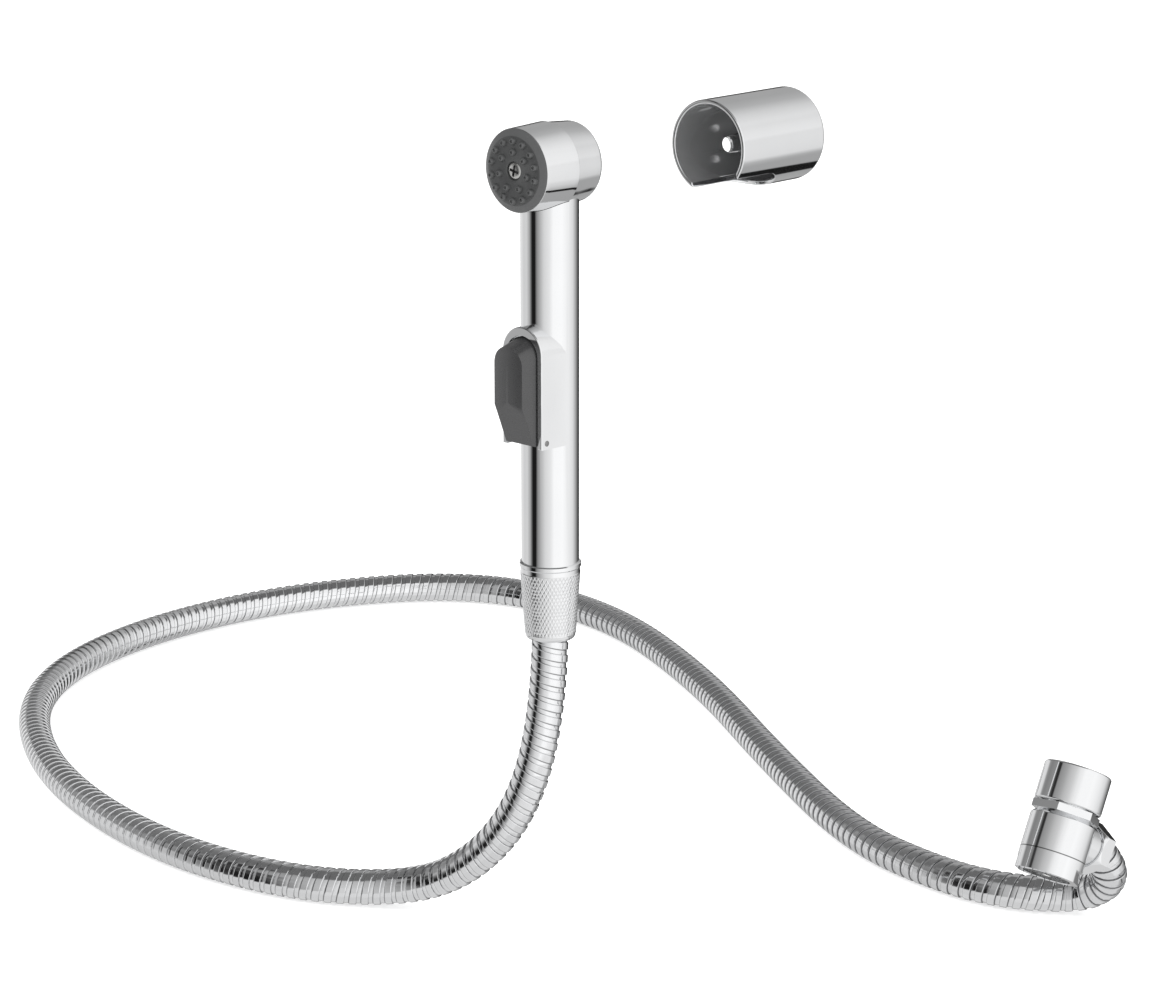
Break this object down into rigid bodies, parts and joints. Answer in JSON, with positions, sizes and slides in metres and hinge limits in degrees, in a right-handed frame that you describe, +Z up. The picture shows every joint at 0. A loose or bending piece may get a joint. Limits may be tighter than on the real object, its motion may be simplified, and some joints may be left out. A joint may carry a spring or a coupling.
{
  "type": "basin hand shower",
  "caption": "Hand spray with a thumb lever, a metal hose in a wide loop, a wall holder and a diverter for a basin tap.",
  "frame": {"origin": "middle of the wall holder's back face, where it meets the wall", "axes": "+Z up, +Y into the wall, +X to the right of someone who faces the wall; the handset hangs upright in front of the holder and the hose lies 294 mm below the origin"},
  "size_m": [0.573, 0.3796, 0.3141],
  "materials": {
    "chrome": "polished chrome plating",
    "hose_steel": "polished interlocked steel strip",
    "steel": "plain stainless steel",
    "grey_rubber": "soft matt rubber",
    "seal_rubber": "black rubber",
    "dark_plastic": "satin dark grey plastic",
    "inner_plastic": "moulded white plastic"
  },
  "bodies": {
    "handset": {"handle_body": "chrome", "front_ring": "chrome", "face_seal": "seal_rubber", "spray_plate": "inner_plastic", "spray_face": "grey_rubber", "face_screw": "steel", "valve_body": "inner_plastic", "valve_spring": "steel", "lower_pipe": "inner_plastic", "upper_pipe": "inner_plastic", "lever_pin": "steel", "inlet_connector": "inner_plastic", "knurled_nut": "chrome", "hose_washer": "seal_rubber", "wall_holder": "chrome"},
    "lever": {"thumb_lever": "dark_plastic"},
    "plunger": {"valve_plunger": "inner_plastic", "plunger_seal": "seal_rubber"},
    "hose_run": {"hose_ferrule": "hose_steel", "hose": "hose_steel", "outlet_ferrule": "hose_steel"},
    "diverter": {"hex_nut": "chrome", "outlet_washer": "seal_rubber", "diverter_body": "chrome", "inlet_stem": "chrome", "inlet_washer": "seal_rubber", "aerator_ring": "chrome", "aerator_screen": "inner_plastic", "diverter_spring": "steel"},
    "collar": {"inlet_collar": "chrome"},
    "piston": {"diverter_piston": "inner_plastic"}
  },
  "joints": [
    {"name": "lever_press", "type": "hinge", "parent": "handset", "child": "lever", "pos_m": [0, -0.15, -0.0965], "axis": [-1, 0, 0], "range_deg": [0, 4.5], "stiffness_Nm_per_rad": 0.4},
    {"name": "plunger_push", "type": "slide", "parent": "handset", "child": "plunger", "axis": [0, 1, 0], "range_m": [0, 0.0017]},
    {"name": "hose_swivel", "type": "hinge", "parent": "handset", "child": "hose_run", "pos_m": [0, -0.1377, -0.18], "axis": [0, 0, 1], "continuous": true},
    {"name": "diverter_swivel", "type": "hinge", "parent": "hose_run", "child": "diverter", "pos_m": [0.15382, -0.00189, -0.2578], "axis": [0.1059, 0.858, -0.5027], "continuous": true},
    {"name": "collar_turn", "type": "hinge", "parent": "diverter", "child": "collar", "pos_m": [0.15121, -0.01294, -0.23743], "axis": [-0.0407, 0.5088, 0.8599], "continuous": true},
    {"name": "piston_slide", "type": "slide", "parent": "diverter", "child": "piston", "axis": [0.0407, -0.5088, -0.8599], "range_m": [0, 0.0015], "stiffness_N_per_m": 400}
  ],
  "couplings": [
    {"joint": "plunger_push", "follows": "lever_press", "m_per_rad": 0.0215}
  ]
}
